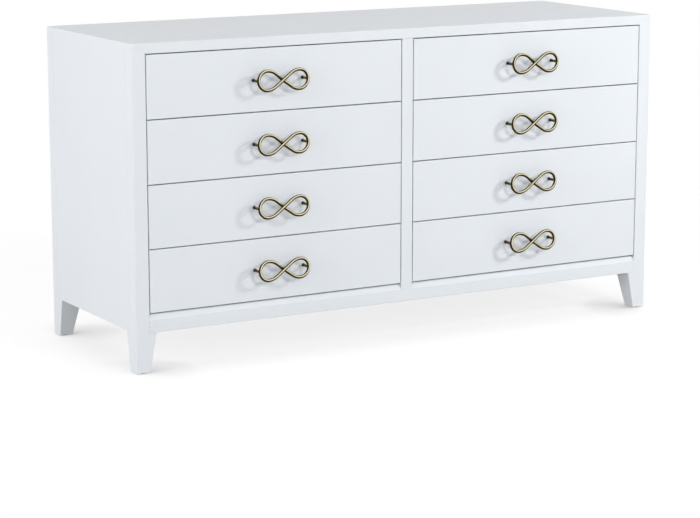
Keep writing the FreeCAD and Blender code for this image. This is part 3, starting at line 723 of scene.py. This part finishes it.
def screws_mesh(groups, finish):
    """All the like screws of some CAD islands as one mesh."""
    facts = [screw_facts(points) for points in groups]
    seats = [(seat, drive) for seat, drive, _ in facts]
    return copies(screw_mesh(*facts[0][2]), seats, finish, math.pi / 2)


# Runners

def runner_mesh(length_y, height, depth):
    """A rolled channel with rounded bends, open towards +Z, centred, with its length along Y."""
    def bend(centre, radius, start):
        steps = [start + math.pi / 2 * step / BEND_STEPS for step in range(BEND_STEPS + 1)]
        return [(centre[0] + radius * math.cos(a), centre[1] + radius * math.sin(a)) for a in steps]

    half, lip = height / 2, depth / 2
    inner_half, inner_bend = half - RUNNER_SHEET, RUNNER_BEND - RUNNER_SHEET
    hem, under_lip = RUNNER_HEM, lip - RUNNER_HEM
    left = (RUNNER_BEND - half, RUNNER_BEND - lip)
    right = (half - RUNNER_BEND, RUNNER_BEND - lip)
    outline = [(-half, under_lip)]
    outline += bend(left, RUNNER_BEND, math.pi)
    outline += bend(right, RUNNER_BEND, -math.pi / 2)
    outline += [(half, under_lip), (half - hem, lip), (inner_half + hem, lip), (inner_half, under_lip)]
    outline += reversed(bend(right, inner_bend, -math.pi / 2))
    outline += reversed(bend(left, inner_bend, math.pi))
    outline += [(-inner_half, under_lip), (-inner_half - hem, lip), (hem - half, lip)]
    shape = bmesh.new()
    ends = [[shape.verts.new((x, y, z)) for x, z in outline] for y in (-length_y / 2, length_y / 2)]
    for end in ends:
        shape.faces.new(end)
    skinned(shape, *ends)
    return smoothed(outward_mesh(shape, "runner"))


def bank_middle(points):
    """The X of the middle of the bank that some points lie in."""
    return math.copysign((FRONT_LOW.x + FRONT_HIGH.x) / 2, points[0].x)


def runner_seat(points, opens_inwards):
    """Where a channel's middle lies, and the way it opens, seen from its drawer's middle."""
    low, high = corners(points)
    centre = (low + high) / 2
    inwards = 1 if centre.x < bank_middle(points) else -1
    return centre, Vector((inwards if opens_inwards else -inwards, 0, 0))


def runners_mesh(groups, opens_inwards, finish):
    """All the like channels of some CAD islands as one mesh."""
    low, high = corners(groups[0])
    size = high - low
    seats = [runner_seat(points, opens_inwards) for points in groups]
    return copies(runner_mesh(size.y, size.z, size.x), seats, finish)


# Pulls

def pull_tree():
    """A wire bent in a figure eight, on a post at the far end of each loop. A loop is half a circle, wider
    arcs ease it into the two straight strands, and one strand dips behind the other where they cross."""
    tree, given = new_tree("figure_eight_pull", {
        "Span": "Float", "Height": "Float", "Wire": "Float", "Projection": "Float", "Post": "Float",
        "Foot": "Float", "Slope": "Float", "Set-back": "Float", "Rubbed Side": "Vector",
        "Place": "Vector", "Finish": "Material"})
    place = add_node(tree, "ShaderNodeSeparateXYZ", [add_node(tree, "GeometryNodeInputPosition")]).outputs
    along = add_node(tree, "GeometryNodeSplineParameter").outputs["Factor"]
    size = {**dict(given.outputs.items()), "x": place["X"], "y": place["Y"], "along": along}
    for name, operation, *terms in PULL_SUMS:
        size[name] = add_node(
            tree, "ShaderNodeMath", [size.get(term, term) for term in terms], operation=operation)

    # each place on a unit arc moves out to the loop, or past its top and its foot to the easing arcs
    unit_arc = add_node(tree, "GeometryNodeCurveArc", {
        "Resolution": ARC_POINTS, "Radius": 1.0, "Start Angle": size["start"],
        "Sweep Angle": size["sweep"]})
    right = add_node(tree, "GeometryNodeSetPosition", {
        "Geometry": unit_arc,
        "Position": add_node(tree, "ShaderNodeCombineXYZ", {"X": size["arc x"], "Z": size["arc z"]})})
    left = add_node(tree, "GeometryNodeTransform", {"Geometry": right, "Scale": (-1, 1, 1)})
    loops = add_node(tree, "GeometryNodeJoinGeometry", {"Geometry": [right, left]})
    points = add_node(tree, "GeometryNodeCurveToPoints", {"Curve": loops}, mode="EVALUATED")
    path = add_node(tree, "GeometryNodePointsToCurves", {"Points": points})
    ring = add_node(tree, "GeometryNodeSetSplineCyclic", {"Geometry": path, "Cyclic": True})
    even = add_node(tree, "GeometryNodeResampleCurve", {"Curve": ring, "Count": RING_POINTS})

    near = add_node(
        tree, "ShaderNodeMapRange",
        {"Value": size["from crossing"], "From Max": CROSSING_REACH, "To Min": size["Set-back"],
         "To Max": 0.0},
        interpolation_type="SMOOTHSTEP")
    depth = add_node(
        tree, "ShaderNodeMath", [near, size["behind"], size["ring y"]], operation="MULTIPLY_ADD")
    laid = add_node(tree, "GeometryNodeSetPosition", {
        "Geometry": even, "Offset": add_node(tree, "ShaderNodeCombineXYZ", {"Y": depth})})
    lined = add_node(
        tree, "GeometryNodeStoreNamedAttribute",
        {"Geometry": laid, "Name": "line", "Value": add_node(tree, "GeometryNodeInputTangent")},
        data_type="FLOAT_VECTOR", domain="POINT")
    round_wire = add_node(
        tree, "GeometryNodeCurvePrimitiveCircle", {"Resolution": WIRE_SIDES, "Radius": size["half wire"]})
    wire = add_node(tree, "GeometryNodeCurveToMesh", {"Curve": lined, "Profile Curve": round_wire})

    post_line = add_node(tree, "GeometryNodeCurvePrimitiveLine", {
        "Start": add_node(tree, "ShaderNodeCombineXYZ", {"X": size["half span"], "Y": size["ring y"]}),
        "End": add_node(tree, "ShaderNodeCombineXYZ", {"X": size["half span"]})})
    post_path = add_node(tree, "GeometryNodeResampleCurve", {"Curve": post_line, "Count": POST_RINGS})
    swell = add_node(
        tree, "ShaderNodeMapRange",
        {"Value": along, "From Min": FLARE_SHARE, "To Min": size["post radius"],
         "To Max": size["foot radius"]},
        interpolation_type="SMOOTHSTEP")
    unit_circle = add_node(
        tree, "GeometryNodeCurvePrimitiveCircle", {"Resolution": WIRE_SIDES, "Radius": 1.0})
    post = add_node(tree, "GeometryNodeCurveToMesh", {
        "Curve": post_path, "Profile Curve": unit_circle, "Scale": swell, "Fill Caps": True})
    other = add_node(tree, "GeometryNodeTransform", {
        "Geometry": post, "Translation": add_node(tree, "ShaderNodeCombineXYZ", {"X": size["across"]})})
    posts = add_node(tree, "GeometryNodeJoinGeometry", {"Geometry": [post, other]})

    # the crest is the line along the wire that looks most to the rubbed and lit side; its brightness is
    # partly a painted highlight
    rub_and_highlight_side = size["Rubbed Side"]
    normal = add_node(tree, "GeometryNodeInputNormal")
    line = add_node(tree, "GeometryNodeInputNamedAttribute", {"Name": "line"}, data_type="FLOAT_VECTOR")
    lengthwise = add_node(tree, "ShaderNodeVectorMath", [rub_and_highlight_side, line], operation="PROJECT")
    crosswise = add_node(tree, "ShaderNodeVectorMath", [rub_and_highlight_side, lengthwise], operation="SUBTRACT")
    crest_way = add_node(tree, "ShaderNodeVectorMath", [crosswise], operation="NORMALIZE")
    crest = add_node(tree, "ShaderNodeVectorMath", [normal, crest_way], operation="DOT_PRODUCT")
    # a post is rubbed least at its foot, and is darker there with painted shade by the drawer front
    facing = add_node(tree, "ShaderNodeVectorMath", [normal, rub_and_highlight_side], operation="DOT_PRODUCT")
    flank = add_node(
        tree, "ShaderNodeMapRange", {"Value": size["out"], "To Min": FOOT_RUB_AND_SHADE, "To Max": TIP_RUB_AND_LIGHT})
    post_rub_and_light = add_node(
        tree, "ShaderNodeMath", [facing.outputs["Value"], POST_RUB_AND_LIGHT_SPREAD, flank], operation="MULTIPLY_ADD")
    marked = [
        add_node(
            tree, "GeometryNodeStoreNamedAttribute", {"Geometry": shape, "Name": "crest", "Value": rub},
            data_type="FLOAT", domain="POINT")
        for shape, rub in ((wire, crest.outputs["Value"]), (posts, post_rub_and_light))]
    casting = add_node(tree, "GeometryNodeJoinGeometry", {"Geometry": marked})
    placed = add_node(tree, "GeometryNodeTransform", {"Geometry": casting, "Translation": size["Place"]})
    return end_tree(tree, placed, size["Finish"])


# Drawer boxes

def fingered_board(place, kept):
    """A board whose two ends are cut into fingers. place gives the point at a step along the board, a
    face and a level, and kept tells which levels the fingers at the ends keep."""
    def filled(step, level):
        return 0 <= step < 3 and 0 <= level < levels and (step == 1 or level % 2 == kept)

    def quad(*keys):
        for key in keys:
            if key not in points:
                points[key] = shape.verts.new(place(*key))
        shape.faces.new([points[key] for key in keys])

    levels = 2 * bpy.context.scene.chest_joinery.tails + 1
    shape = bmesh.new()
    points = {}
    for step in range(3):
        for level in range(levels):
            if not filled(step, level):
                continue
            for face in (0, 1):
                quad((step, face, level), (step + 1, face, level), (step + 1, face, level + 1),
                     (step, face, level + 1))
            for end, beside in ((step, step - 1), (step + 1, step + 1)):
                if not filled(beside, level):
                    quad((end, 0, level), (end, 1, level), (end, 1, level + 1), (end, 0, level + 1))
            for edge, beside in ((level, level - 1), (level + 1, level + 1)):
                if not filled(step, beside):
                    quad((step, 0, edge), (step + 1, 0, edge), (step + 1, 1, edge), (step, 1, edge))
    return shape


def box_boards(sizes):
    """The five boards of one drawer box, each with the axes of its grain: along, across and through."""
    low, high = BOX_LOW, BOX_HIGH
    inner_low = Vector((low.x + sizes.board, low.y + sizes.board, low.z + sizes.floor_raise))
    inner_high = Vector((high.x - sizes.board, high.y - sizes.board, inner_low.z + sizes.floor))
    room = high.z - low.z - 2 * sizes.half_pin
    spacing = room / (sizes.tails - 1 + TAIL_ROOT_SHARE)
    roots = [low.z]
    for tail in range(sizes.tails):
        start = low.z + sizes.half_pin + spacing * tail
        roots += [start, start + spacing * TAIL_ROOT_SHARE]
    roots.append(high.z)
    ends = list(roots)
    for level in range(1, len(roots) - 1):
        ends[level] += sizes.tail_flare if level % 2 == 0 else -sizes.tail_flare
    steps_x = (low.x, inner_low.x, inner_high.x, high.x)
    steps_y = (low.y, inner_low.y, inner_high.y, high.y)

    def side(faces):
        def place(step, face, level):
            return faces[face], steps_y[step], (ends if step in (0, 3) else roots)[level]
        return fingered_board(place, 1)

    def end(faces):
        def place(step, face, level):
            return steps_x[step], faces[face], (ends if face == 0 else roots)[level]
        return fingered_board(place, 0)

    floor = bmesh.new()
    bmesh.ops.create_cube(floor, size=1)
    middle = (inner_low + inner_high) / 2
    for vert in floor.verts:
        vert.co = middle + vert.co * (inner_high - inner_low)
    return [
        (side((low.x, inner_low.x)), (Y, Z, X)),
        (side((high.x, inner_high.x)), (Y, Z, X)),
        (end((low.y, inner_low.y)), (X, Z, Y)),
        (end((high.y, inner_high.y)), (X, Z, Y)),
        (floor, (X, Y, Z)),
    ]


def box_mesh(sizes):
    """One drawer box with eased edges. Each board's points carry their place in the board's own grain."""
    whole = bmesh.new()
    grain = whole.verts.layers.float_vector.new("grain")
    owner = whole.verts.layers.int.new("board")
    for number, (board, axes) in enumerate(box_boards(sizes)):
        bmesh.ops.recalc_face_normals(board, faces=board.faces)
        bmesh.ops.dissolve_limit(board, angle_limit=FLAT_ANGLE, verts=board.verts, edges=board.edges)
        bmesh.ops.bevel(
            board, geom=board.edges, offset=sizes.ease, segments=EASE_STEPS, profile=0.5, affect="EDGES",
            clamp_overlap=True)
        mesh = plain_mesh(board, "board")
        before = len(whole.verts)
        whole.from_mesh(mesh)
        bpy.data.meshes.remove(mesh)
        whole.verts.ensure_lookup_table()
        for vert in whole.verts[before:]:
            vert[grain] = [vert.co[axis] for axis in axes]
            vert[owner] = number
    return smoothed(plain_mesh(whole, "drawer_box"))


def own_box(pattern, move, seed):
    """A copy of the drawer box in its place, cut from other parts of the tree."""
    mesh = pattern.copy()
    chance = random.Random(seed)
    shifts = [Vector([chance.uniform(*span) for span in GRAIN_SHIFTS]) for _ in range(5)]
    grain = mesh.attributes["grain"].data
    owner = mesh.attributes["board"].data
    for vert, own, number in zip(mesh.vertices, grain, owner):
        own.vector = Vector(own.vector) + shifts[number.value]
        vert.co += move
    return mesh


# Operators

def dress(nodes, material):
    """Give CAD nodes a finish."""
    for node in nodes:
        for slot in frame["nodes"][node].material_slots:
            slot.material = material


class CHEST_OT_finish_case(bpy.types.Operator):
    """Lacquer the case and leave its inner woodwork plain"""
    bl_idname = "chest.finish_case"
    bl_label = "Finish the case"

    def execute(self, context):
        finish = context.scene.chest_finish
        dress(LACQUERED, satin_lacquer("satin_white_lacquer", finish))
        dress(["bottom_panel"], sill_lacquer_painted_shade(finish))
        dress(PLAIN_WOOD, sanded_birch(finish))
        return {"FINISHED"}


class CHEST_OT_finish_drawer_fronts(bpy.types.Operator):
    """Lacquer the eight drawer fronts"""
    bl_idname = "chest.finish_drawer_fronts"
    bl_label = "Finish the drawer fronts"

    def execute(self, context):
        lacquer = bpy.data.materials["satin_white_lacquer"]
        dress(["drawer_%s_front" % drawer for drawer in DRAWERS], lacquer)
        return {"FINISHED"}


class CHEST_OT_make_pulls(bpy.types.Operator):
    """Cast the figure-eight pulls"""
    bl_idname = "chest.make_pulls"
    bl_label = "Make the pulls"

    def execute(self, context):
        pull = context.scene.chest_pull
        finish = antique_brass(context.scene.chest_finish)
        tree = pull_tree()
        for drawer in DRAWERS:
            node = "drawer_%s_pull" % drawer
            low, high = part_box(node)
            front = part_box("drawer_%s_front" % drawer)[0]
            mesh = grown(tree, bpy.data.meshes.new("pull"), {
                "Span": pull.span, "Height": pull.height, "Wire": pull.wire,
                "Projection": pull.projection, "Post": pull.post, "Foot": pull.foot,
                "Slope": pull.slope, "Set-back": pull.setback, "Rubbed Side": RUB_AND_HIGHLIGHT_SIDE, "Finish": finish,
                "Place": ((low.x + high.x) / 2, front.y, (low.z + high.z) / 2)})
            finished("pull_" + drawer, smoothed(mesh), "drawer_" + drawer, "brass", node)
        return {"FINISHED"}


class CHEST_OT_make_drawer_boxes(bpy.types.Operator):
    """Joint the eight drawer boxes"""
    bl_idname = "chest.make_drawer_boxes"
    bl_label = "Make the drawer boxes"

    def execute(self, context):
        maple = clear_maple(context.scene.chest_finish)
        pattern = box_mesh(context.scene.chest_joinery)
        pattern.materials.append(maple)
        for seed, drawer in enumerate(DRAWERS):
            node = "drawer_%s_box" % drawer
            mesh = own_box(pattern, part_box(node)[0] - BOX_LOW, seed)
            finished("box_" + drawer, mesh, "drawer_" + drawer, "drawer_wood", node)
        return {"FINISHED"}


class CHEST_OT_make_runners(bpy.types.Operator):
    """Roll the telescopic runners and drive the screws that hold them and the drawer fronts"""
    bl_idname = "chest.make_runners"
    bl_label = "Make the runners"

    def execute(self, context):
        zinc = zinc_plate(context.scene.chest_finish)
        mesh = runners_mesh(islands("slide_outer_members"), True, zinc)
        finished("case_runners", mesh, "case", "zinc_steel", "slide_outer_members")
        mesh = screws_mesh(islands("slide_screws"), zinc)
        finished("case_runner_screws", mesh, "case", "zinc_steel", "slide_screws")
        for drawer in DRAWERS:
            middle = "drawer_%s_slide_middle" % drawer
            mesh = runners_mesh(islands(middle), True, zinc)
            finished("middle_runners_" + drawer, mesh, "slide_" + drawer, "zinc_steel", middle)
            self.fit_drawer(drawer, zinc)
        return {"FINISHED"}

    def fit_drawer(self, drawer, zinc):
        """The runners on a drawer's sides, and the screws of its sides, its front and its pull."""
        hardware = "drawer_%s_hardware" % drawer
        pull = "drawer_%s_pull" % drawer
        kinds = {"runner": [], "side": [], "front": []}
        for points in islands(hardware):
            low, high = corners(points)
            size = high - low
            if size.z > RUNNER_LEAST:
                kinds["runner"].append(points)
            else:
                kinds["side" if size.x > size.y else "front"].append(points)
        # the pull's own solid has more points than its two screws
        kinds["pull"] = sorted(islands(pull), key=len)[:2]
        body = "drawer_" + drawer
        mesh = runners_mesh(kinds["runner"], False, zinc)
        finished("drawer_runners_" + drawer, mesh, body, "zinc_steel", hardware)
        screws = [screws_mesh(kinds[kind], zinc) for kind in ("side", "front", "pull")]
        finished("drawer_screws_" + drawer, joined(screws, "screws"), body, "zinc_steel", hardware, pull)


class CHEST_OT_make_back_screws(bpy.types.Operator):
    """Drive the screws of the back panel"""
    bl_idname = "chest.make_back_screws"
    bl_label = "Make the back screws"

    def execute(self, context):
        zinc = bpy.data.materials["zinc_plated_steel"]
        mesh = screws_mesh(islands("back_panel_screws"), zinc)
        finished("back_screws", mesh, "case", "zinc_steel", "back_panel_screws")
        return {"FINISHED"}


class CHEST_OT_make_glides(bpy.types.Operator):
    """Mould the glides under the feet"""
    bl_idname = "chest.make_glides"
    bl_label = "Make the glides"

    def execute(self, context):
        nylon = moulded_nylon(context.scene.chest_finish)
        seats = []
        for points in islands("foot_glides"):
            low, high = corners(points)
            seats.append((Vector(((low.x + high.x) / 2, (low.y + high.y) / 2, low.z)), Vector((0, 0, 1))))
        # all four are alike, so the last one gives the sizes
        radius, top, foot = (high.x - low.x) / 2, high.z, seats[-1][0]
        rim = [point.z for point in points
               if (point - foot).length > RIM_FROM * radius and point.z < (low.z + top) / 2]
        profile = [(share * radius, level * max(rim)) for share, level in GLIDE_RIM]
        profile += [(GLIDE_STEM_R, max(rim)), (GLIDE_STEM_R, top - GLIDE_STEM_R),
                    (GLIDE_TIP * GLIDE_STEM_R, top), (0, top)]
        shape = smoothed(outward_mesh(turned(profile, GLIDE_SIDES), "glide"))
        finished("turned_glides", copies(shape, seats, nylon), "case", "glide_nylon", "foot_glides")
        return {"FINISHED"}


class CHEST_OT_set_stage(bpy.types.Operator):
    """Lay a white floor, and set the lights and the camera"""
    bl_idname = "chest.set_stage"
    bl_label = "Set the stage"

    def execute(self, context):
        stage = context.scene.chest_stage
        self.lay_floor(stage)
        self.paint_room(context.scene, stage)
        for lamp, (way, distance, width) in LAMPS.items():
            self.hang_light(lamp + "_light", getattr(stage, lamp), way, distance, width)
        lens = bpy.data.cameras.new("camera")
        lens.sensor_width = SENSOR_WIDTH
        lens.lens = stage.lens
        camera = in_scene("camera", lens)
        camera.location = stage.camera_place
        camera.rotation_euler = stage.camera_turn
        context.scene.camera = camera
        context.scene.view_settings.view_transform = "Standard"
        return {"FINISHED"}

    def seen(self, tree):
        """One where a ray comes from the camera, a reflection or glass, and none elsewhere."""
        path = add_node(tree, "ShaderNodeLightPath").outputs
        mirrored = add_node(
            tree, "ShaderNodeMath", [path["Is Glossy Ray"], path["Is Transmission Ray"]],
            operation="MAXIMUM")
        return add_node(tree, "ShaderNodeMath", [path["Is Camera Ray"], mirrored], operation="MAXIMUM")

    def lay_floor(self, stage):
        """A white floor with a painted shadow round the chest and by each foot, which runs out into plain
        white.
        """
        material, tree, _ = blank_material("white_floor")
        tree.nodes.clear()
        bounce = add_node(tree, "ShaderNodeBsdfDiffuse", {"Color": (*stage.floor_bounce, 1)})
        shade = add_node(tree, "ShaderNodeBsdfDiffuse", {"Color": (*stage.floor_shade, 1)})
        # painted shadow round the chest: the floor's glow darkens where the chest hides it
        round_chest = add_node(tree, "ShaderNodeAmbientOcclusion", {"Distance": HALO_REACH})
        halo = add_node(
            tree, "ShaderNodeMapRange",
            {"Value": round_chest.outputs["AO"], "From Min": 0.5, "To Min": HALO_SHADE, "To Max": 1.0})
        # painted shadow: each foot darkens the floor towards the chest's middle, as if lit from its own
        # side and from the front
        place = add_node(tree, "ShaderNodeTexCoord").outputs["Object"]
        half = add_node(tree, "ShaderNodeMath", [
            add_node(tree, "ShaderNodeSeparateXYZ", [place]).outputs["X"]], operation="SIGN")
        outwards = add_node(tree, "ShaderNodeMath", [half, FOOT_SHADOW_AWAY_FROM[X]], operation="MULTIPLY")
        foot_shadow_away_side = add_node(tree, "ShaderNodeCombineXYZ", [outwards, FOOT_SHADOW_AWAY_FROM[Y], FOOT_SHADOW_AWAY_FROM[Z]])
        by_foot = add_node(
            tree, "ShaderNodeAmbientOcclusion", {"Distance": FOOT_REACH, "Normal": foot_shadow_away_side})
        contact = add_node(
            tree, "ShaderNodeMapRange",
            {"Value": by_foot.outputs["AO"], "To Min": FOOT_SHADE * stage.floor_glow,
             "To Max": stage.floor_glow})
        open_floor = add_node(tree, "ShaderNodeMath", [halo, contact], operation="MULTIPLY")
        glow = add_node(tree, "ShaderNodeEmission", {"Color": WHITE, "Strength": open_floor})
        white = add_node(tree, "ShaderNodeEmission", {"Color": WHITE, "Strength": 1.0})
        away = add_node(tree, "ShaderNodeVectorMath", [place], operation="LENGTH").outputs["Value"]
        faded = add_node(
            tree, "ShaderNodeMapRange", {"Value": away, "From Min": FADE_START, "From Max": FADE_END},
            interpolation_type="SMOOTHSTEP")
        near = add_node(tree, "ShaderNodeAddShader", [shade, glow])
        look = add_node(tree, "ShaderNodeMixShader", [faded, near, white])
        floor_look = add_node(tree, "ShaderNodeMixShader", [self.seen(tree), bounce, look])
        add_node(tree, "ShaderNodeOutputMaterial", [floor_look])
        disc = bmesh.new()
        bmesh.ops.create_circle(disc, cap_ends=True, radius=FLOOR_R, segments=FLOOR_SIDES)
        mesh = plain_mesh(disc, "floor")
        mesh.materials.append(material)
        floor = in_scene("floor", mesh)

    def paint_room(self, scene, stage):
        """A room that is seen as plain white and lights the chest softly."""
        world = bpy.data.worlds.new("studio")
        scene.world = world
        world.use_nodes = True
        tree = world.node_tree
        tree.nodes.clear()
        # light from the foot of the walls reaches the legs under the chest
        outlook = add_node(tree, "ShaderNodeTexCoord").outputs["Generated"]
        up = add_node(tree, "ShaderNodeSeparateXYZ", [outlook]).outputs["Z"]
        wash = add_node(
            tree, "ShaderNodeMapRange",
            {"Value": up, "From Min": WALL_FOOT_FADE[0], "From Max": WALL_FOOT_FADE[1],
             "To Min": stage.wall_foot, "To Max": stage.ambient})
        walls = add_node(tree, "ShaderNodeBackground", {"Color": WHITE, "Strength": wash})
        white = add_node(tree, "ShaderNodeBackground", {"Color": WHITE, "Strength": 1.0})
        room = add_node(tree, "ShaderNodeMixShader", [self.seen(tree), walls, white])
        add_node(tree, "ShaderNodeOutputWorld", [room])

    def hang_light(self, name, watts, way, distance, width):
        """A softbox that looks at the chest's middle from the given way, and is itself unseen."""
        lamp = bpy.data.lights.new(name, "AREA")
        lamp.energy = watts
        lamp.size = width
        light = in_scene(name, lamp)
        aim = Vector(way).normalized()
        middle = (CAD_BOX[0] + CAD_BOX[1]) / 2
        light.location = middle + aim * distance
        light.rotation_euler = aim.to_track_quat("Z", "Y").to_euler()
        light.visible_camera = False
        light.visible_glossy = False


STEPS = (
    CHEST_OT_finish_case, CHEST_OT_finish_drawer_fronts, CHEST_OT_make_pulls, CHEST_OT_make_drawer_boxes,
    CHEST_OT_make_runners, CHEST_OT_make_back_screws, CHEST_OT_make_glides, CHEST_OT_set_stage,
)
SETTINGS = {
    "chest_finish": ChestFinish, "chest_pull": ChestPull, "chest_joinery": ChestJoinery,
    "chest_stage": ChestStage,
}


class CHEST_PT_panel(bpy.types.Panel):
    """The steps that finish the chest"""
    bl_idname = "CHEST_PT_panel"
    bl_label = "Chest of drawers"
    bl_space_type = "VIEW_3D"
    bl_region_type = "UI"
    bl_category = "Chest"

    def draw(self, context):
        for step in STEPS:
            self.layout.operator(step.bl_idname)
        for name, kind in SETTINGS.items():
            box = self.layout.box()
            for setting in kind.__annotations__:
                box.prop(getattr(context.scene, name), setting)


def register():
    for kind in (*SETTINGS.values(), *STEPS, CHEST_PT_panel):
        bpy.utils.register_class(kind)
    for name, kind in SETTINGS.items():
        setattr(bpy.types.Scene, name, bpy.props.PointerProperty(type=kind))


def unregister():
    for name in SETTINGS:
        delattr(bpy.types.Scene, name)
    for kind in (CHEST_PT_panel, *reversed(STEPS), *reversed(list(SETTINGS.values()))):
        bpy.utils.unregister_class(kind)


def main():
    register()
    for step in STEPS:
        group, name = step.bl_idname.split(".")
        getattr(getattr(bpy.ops, group), name)()


if __name__ == "__main__":
    main()
